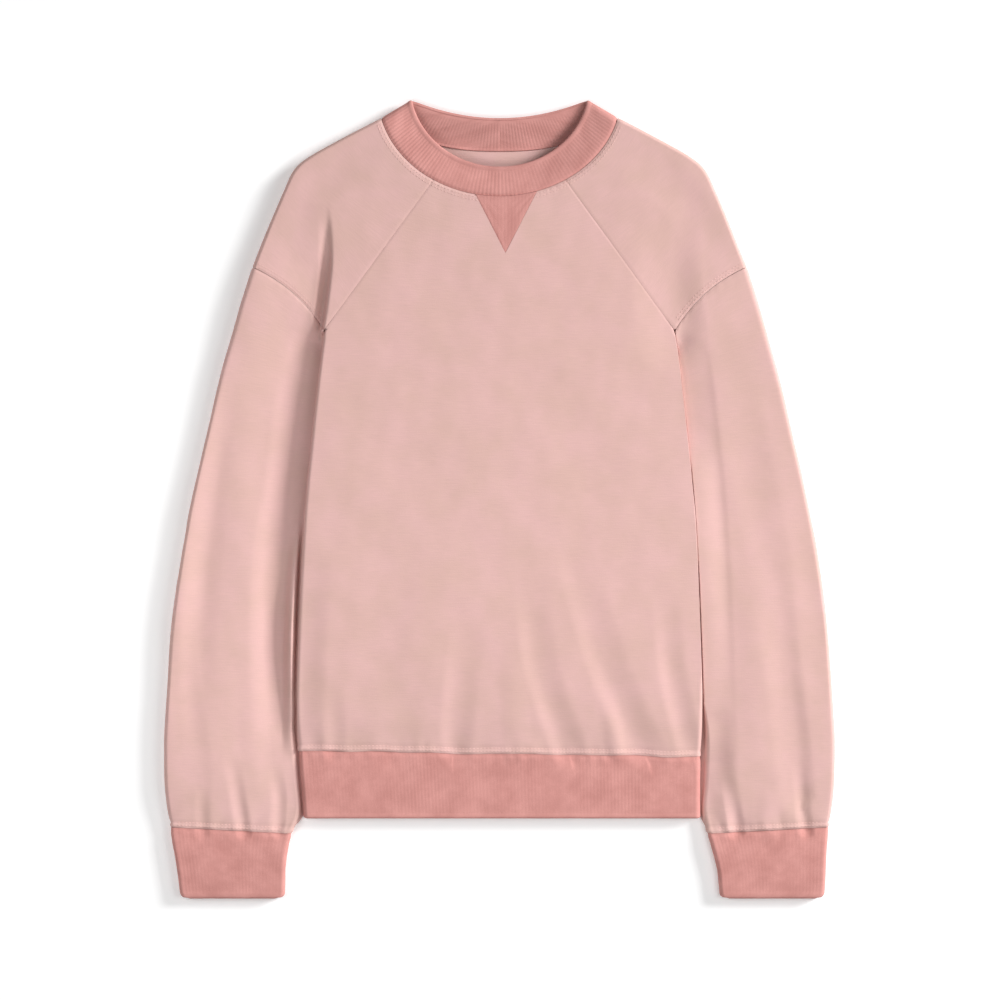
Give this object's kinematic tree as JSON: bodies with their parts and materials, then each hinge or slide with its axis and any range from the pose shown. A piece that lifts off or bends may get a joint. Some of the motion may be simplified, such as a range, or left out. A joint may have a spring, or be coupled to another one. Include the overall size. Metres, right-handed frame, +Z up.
{
  "type": "crewneck sweatshirt",
  "caption": "Long-sleeved crewneck sweatshirt laid flat on its back, sleeves straight down beside the body, with a ribbed collar, hem band, cuffs and a small V insert at the neck.",
  "frame": {"origin": "on the floor under the middle of the laid-out garment", "axes": "+X towards the wearer's left sleeve, +Y from the hem to the neck, +Z up from the floor"},
  "size_m": [0.6156, 0.7331, 0.021],
  "materials": {
    "fleece": "matte brushed cotton fleece jersey",
    "rib": "matte cotton one-by-one rib knit"
  },
  "bodies": {
    "root": {"front": "fleece", "back": "fleece", "front_gusset": "rib", "shoulder_right": "fleece", "sleeve_right": "fleece", "cuff_right": "rib", "shoulder_left": "fleece", "sleeve_left": "fleece", "cuff_left": "rib", "hem_rib": "rib", "collar_rib": "rib"}
  },
  "joints": []
}
